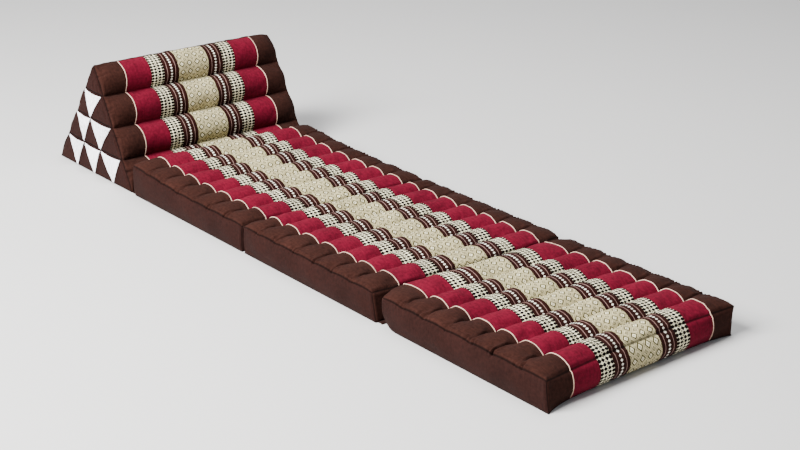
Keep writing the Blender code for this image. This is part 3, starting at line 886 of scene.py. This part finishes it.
in_panel = np.abs(face_means(mesh, y[:, None])[:, 0] - PANEL_MIDDLE) < PIPING_AT
kind = np.full(len(middles), UNDERSIDE)
kind[front] = np.where(in_panel[front], WOVEN, BORDER)
kind[ends] = WALL
mesh.polygons.foreach_set("material_index", kind)
at_row = cells[:, 2] % PRISM_ROLL_CELLS == 0
on_front = cells[:, 0] == prism_cells[0]
on_face = (cells[:, 0] == 0) | on_front
on_end = (cells[:, 1] == 0) | (cells[:, 1] == prism_cells[1])
sewn = (on_face & at_row) | (on_face & on_end)
held = sewn | on_end | ~on_face | (cells[:, 2] == 0)
to_end = np.clip((np.abs(y) - GATHERS_START) / (HALF_WIDTH - GATHERS_START), 0.0, 1.0)
fill_case(prism_case, held, to_end * on_front * ~on_end, PRISM_FILL_MOST)
round_once(prism_case, sewn)


def crumple_prism(case, seed):
    """Pull in the triangle cushion's seams, crease its gathered ends and leave it uneven. Keep each point's
    distance to the nearest seam or crease, which the cottons darken into painted shade.
    """
    mesh = case.data
    across, y, down = (noted(mesh, name) for name in ("height", "across", "along"))
    draw = np.random.default_rng(seed)
    slope = math.hypot(RIDGE_NEAR[0] - PRISM_FRONT, RIDGE_NEAR[1])
    inward = HALF_WIDTH - np.abs(y)
    face_length = down * slope
    on_end, level = inward < 1e-4, down > 0.9999
    at_front, at_back = across > 0.9999, across < 0.0001
    depth_here = down * PRISM_DEPTH
    end_seam = np.where(on_end, np.minimum(across, 1.0 - across) * depth_here, inward)
    row_seam = np.abs(face_length - np.rint(down * PRISM_ROWS) / PRISM_ROWS * slope)
    # The distance to the nearest seam, kept as "seam", gives the painted shade along the seams.
    seam = np.where(on_end, np.minimum(end_seam, row_seam), end_seam)
    out = seam_profile(seam) * ~level
    for side in (-1, 1):
        mine = at_front & ~on_end & (y * side > 0.0)
        starts = (PRISM_SEAMS[:-1] + 0.4 / PRISM_ROWS) * slope
        folds = creases(face_length[mine], inward[mine], starts, draw)
        folds *= END_CREASES[(side + 1) // 2]
        out[mine] -= folds
        # Painted shade in each crease, deeper creases darker.
        seam[mine] = np.minimum(seam[mine], CREASE_SHADOW[0] - CREASE_SHADOW[1] * folds)
    on_cloth = ~level & (at_front | at_back | on_end)
    out += TOP_UNEVEN[0] * unevenness(face_length, y + across, TOP_UNEVEN[1], seed) * on_cloth
    points = mesh_points(mesh) + mesh_normals(mesh) * out[:, None]
    points[:, 2] = np.maximum(points[:, 2], 0.0)
    points[:, 0] = np.minimum(points[:, 0], PRESSED_AT + FOLD.x)
    set_points(mesh, points)
    note_on_points(mesh, "seam", seam)


crumple_prism(prism_case, 20)
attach(prism_case, "root")
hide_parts("triangle_cushion")

# Six white cotton triangles are sewn point down on each end of the triangle cushion, in three
# rows between the brown ones. Each has a narrow hem that stands up a little along its edges.
PATCH_ROWS = (              # row's seam, the top corners along it, and the points below, from back to front
    (1, (0.02, 0.98), (0.44,)),
    (2, (0.02, 0.44, 0.98), (0.333, 0.638)),
    (3, (0.02, 0.333, 0.638, 0.98), (0.28, 0.527, 0.78)),
)
PATCH_CELLS = 14
PATCH_THICKNESS = 0.0008
PATCH_STANDS_OFF = 0.0012   # height of the patch's middle layer above the end below it
PATCH_HEM = 0.0006          # how far the hem stands up
PATCH_TRIM = 0.0015         # the patches' corners stop this short of each other
PATCH_SAG = 0.0020          # the top edge sags this much at its middle
white_cotton = make_cotton("white_cotton", colour_of(250, 247, 250), 0.8, thread=0.0007, shaded_at_seams=False)


def end_spot(side, row, share):
    """Return x and z of a place on a row's seam at one end of the triangle cushion."""
    ridge_x, ridge_z = RIDGE_NEAR if side < 0 else RIDGE_FAR
    down = row / PRISM_ROWS
    lifted = down - BACK_ROWS_LIFT * math.sin(math.pi * down)
    back = np.array((blend((ridge_x, -PRISM_DEPTH), lifted), ridge_z * (1.0 - lifted)))
    front = np.array((blend((ridge_x, PRISM_FRONT), down), ridge_z * (1.0 - down)))
    return blend((back, front), share) + (FOLD.x, 0.0)


def flat_grid(name, cells_one, cells_two):
    """Add a flat grid, and return it with each point's shares of the way along its two sides."""
    bpy.ops.object.select_all(action="DESELECT")
    bpy.ops.mesh.primitive_grid_add(x_subdivisions=cells_one, y_subdivisions=cells_two, size=1.0)
    piece = bpy.context.object
    piece.name = piece.data.name = name
    one, two = (mesh_points(piece.data)[:, :2] + 0.5).T
    return piece, one, two


def make_sheet(piece, cotton, thickness, flat_axes):
    """Map a piece's cloth along two axes, give it its cotton and its thickness."""
    point_of = face_corners(piece.data)[0]
    lay_cloth_map(piece.data, mesh_points(piece.data)[point_of][:, flat_axes])
    piece.data.materials.append(cotton)
    doubled = piece.modifiers.new("doubled", "SOLIDIFY")
    doubled.thickness = thickness
    doubled.offset = 0.0
    bpy.ops.object.modifier_apply(modifier=doubled.name)
    bpy.ops.object.shade_smooth()


def make_patch(name, side, row, shares, tip):
    """Lay one white triangle on an end of the triangle cushion, and return its width and height."""
    patch, one, two = flat_grid(name, PATCH_CELLS, PATCH_CELLS)
    corners = [end_spot(side, row, share) + (trim, -PATCH_TRIM)
               for share, trim in zip(shares, (PATCH_TRIM, -PATCH_TRIM))]
    low = end_spot(side, row + 1, tip) + (0.0, PATCH_TRIM)
    top = corners[0] + np.outer(one, corners[1] - corners[0])
    spots = top + (low - top) * two[:, None]
    spots[:, 1] -= PATCH_SAG * 4.0 * one * (1.0 - one) * (1.0 - two)
    rim = 1.0 - np.minimum(1.0, 8.0 * np.minimum.reduce((one * (1 - two), (1 - one) * (1 - two), two)))
    flat_end = PRISM_ENDS[(side + 1) // 2] + FOLD.y
    end_y = []
    for x, z in spots:
        start = Vector((x, side * 0.5, max(z, 0.002)))
        hit, place = prism_case.ray_cast(start, Vector((0.0, -side, 0.0)))[:2]
        end_y.append(place.y if hit and abs(place.y - flat_end) < 0.015 else flat_end)
    end_y = np.array(end_y) + side * (PATCH_STANDS_OFF + PATCH_HEM * rim)
    set_points(patch.data, np.stack((spots[:, 0], end_y, spots[:, 1]), axis=1))
    merge_points(patch)
    make_sheet(patch, white_cotton, PATCH_THICKNESS, (0, 2))
    return patch, corners[1][0] - corners[0][0], (corners[0][1] + corners[1][1]) / 2.0 - low[1]


for end, side in (("left", 1), ("right", -1)):
    for row, top_corners, tips in PATCH_ROWS:
        for place, tip in enumerate(tips):
            name = f"white_patch_{end}_{row}_{place + 1}"
            patch, wide, tall = make_patch(name, side, row, top_corners[place:place + 2], tip)
            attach(patch, "root")

# Cream piping in the two seams between the woven panel and the brown borders. It is a bias
# strip folded round a thin cord, and it stands up by half of its width all along those seams.
PIPING_RADIUS = 0.0010
PIPING_STANDS = 0.0002      # its middle lies this far above the cloth
PIPING_TURNS_DOWN = 0.10    # on the last mat it runs on down the foot, to this share of its height
piping_cotton = make_cotton("piping_cotton", colour_of(200, 166, 146), 0.8, thread=0.0006,
                            shaded_at_seams=False)


def lay_piping(name, case, across, on_line, order):
    """Lay piping on a case along those of its points that are on a line, in their order."""
    mesh = case.data
    found = np.flatnonzero(on_line & (np.abs(noted(mesh, "across") - across) < 0.0002))
    found = found[np.argsort(order[found])]
    route = (mesh_points(mesh) + mesh_normals(mesh) * PIPING_STANDS)[found]
    curve = bpy.data.curves.new(name, "CURVE")
    curve.dimensions = "3D"
    curve.bevel_depth = PIPING_RADIUS
    curve.bevel_resolution = 2
    curve.use_fill_caps = True
    run = curve.splines.new("POLY")
    run.points.add(len(route) - 1)
    for point, place in zip(run.points, route):
        point.co = (*place, 1.0)
    piping = bpy.data.objects.new(name, curve)
    bpy.context.scene.collection.objects.link(piping)
    pick(piping)
    bpy.ops.object.convert(target="MESH")
    piping.data.name = name
    merge_points(piping)
    layer = piping.data.uv_layers.new(name="cloth")
    spots = mesh_points(piping.data)[face_corners(piping.data)[0]]
    flat = spots[:, :2] + spots[:, 2:]
    layer.uv.foreach_set("vector", flat.astype(np.float32).ravel())
    piping.data.materials.append(piping_cotton)
    bpy.ops.object.shade_smooth()
    return piping


for side_name, side in (("left", 1), ("right", -1)):
    across = PANEL_MIDDLE + side * PIPING_AT
    runs = []
    height, along = noted(prism_case.data, "height"), noted(prism_case.data, "along")
    runs.append(("triangle", prism_case, (height > 0.999) & (along < 0.99), along))
    for case, mat in zip(cases, MATS):
        height, along = noted(case.data, "height"), noted(case.data, "along")
        on_foot = (along > mat["foot"][2] - 1e-5) & (height > PIPING_TURNS_DOWN)
        on_line = (height > 0.999) | (on_foot & (mat["name"] == "mat_3"))
        runs.append((mat["name"], case, on_line, along + (1.0 - height) * SEAM_HEIGHT))
    for carrier, case, on_line, order in runs:
        piping = lay_piping(f"cream_piping_{carrier}_{side_name}", case, across, on_line, order)
        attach(piping, "root")
        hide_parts(f"{carrier}_piping_{side_name}")

# The cover cloth runs on from one cushion to the next and bends there, so that the mattress
# folds up. Each fold is a narrow strip of brown cotton with a soft sag between its two seams.
FOLD_CLOTHS = (             # first and last x, height, skew and slump to the far side, and sag
    ("fold_strip_1", -0.0050, 0.0068, 0.0006, 0.0, 0.0, 0.0),
    ("fold_strip_2", 0.4571, 0.4629, 0.0596, 0.012, 0.07, 0.0042),
    ("fold_strip_3", 0.9160, 0.9285, 0.0006, 0.012, 0.0, -0.0015),
)
FOLD_CLOTH_HALF = 0.246
FOLD_CLOTH_THICKNESS = 0.0011
FOLD_CLOTH_CELLS = (8, 96)
fold_cotton = make_cotton("fold_cotton", colour_of(36, 19, 15), 0.95, shaded_at_seams=False)

for number, (node, first, last, height, skew, slump, sag) in enumerate(FOLD_CLOTHS, 1):
    fold_cloth, one, two = flat_grid(f"fold_cloth_{number}", *FOLD_CLOTH_CELLS)
    y = (2.0 * two - 1.0) * FOLD_CLOTH_HALF
    far = y / HALF_WIDTH / 2.0 + 0.5
    z = height + FOLD_CLOTH_THICKNESS / 2 - sag * np.sin(np.pi * one)
    z += 0.0003 * (1.0 + unevenness(y, one * 0.01, 0.03, number)) * np.sin(np.pi * one)
    set_points(fold_cloth.data, np.stack((blend((first, last), one) + skew * far + FOLD.x,
                                          y + FOLD.y, z * (1.0 - slump * far)), axis=1))
    make_sheet(fold_cloth, fold_cotton, FOLD_CLOTH_THICKNESS, (0, 1))
    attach(fold_cloth, "root")
    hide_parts(node)
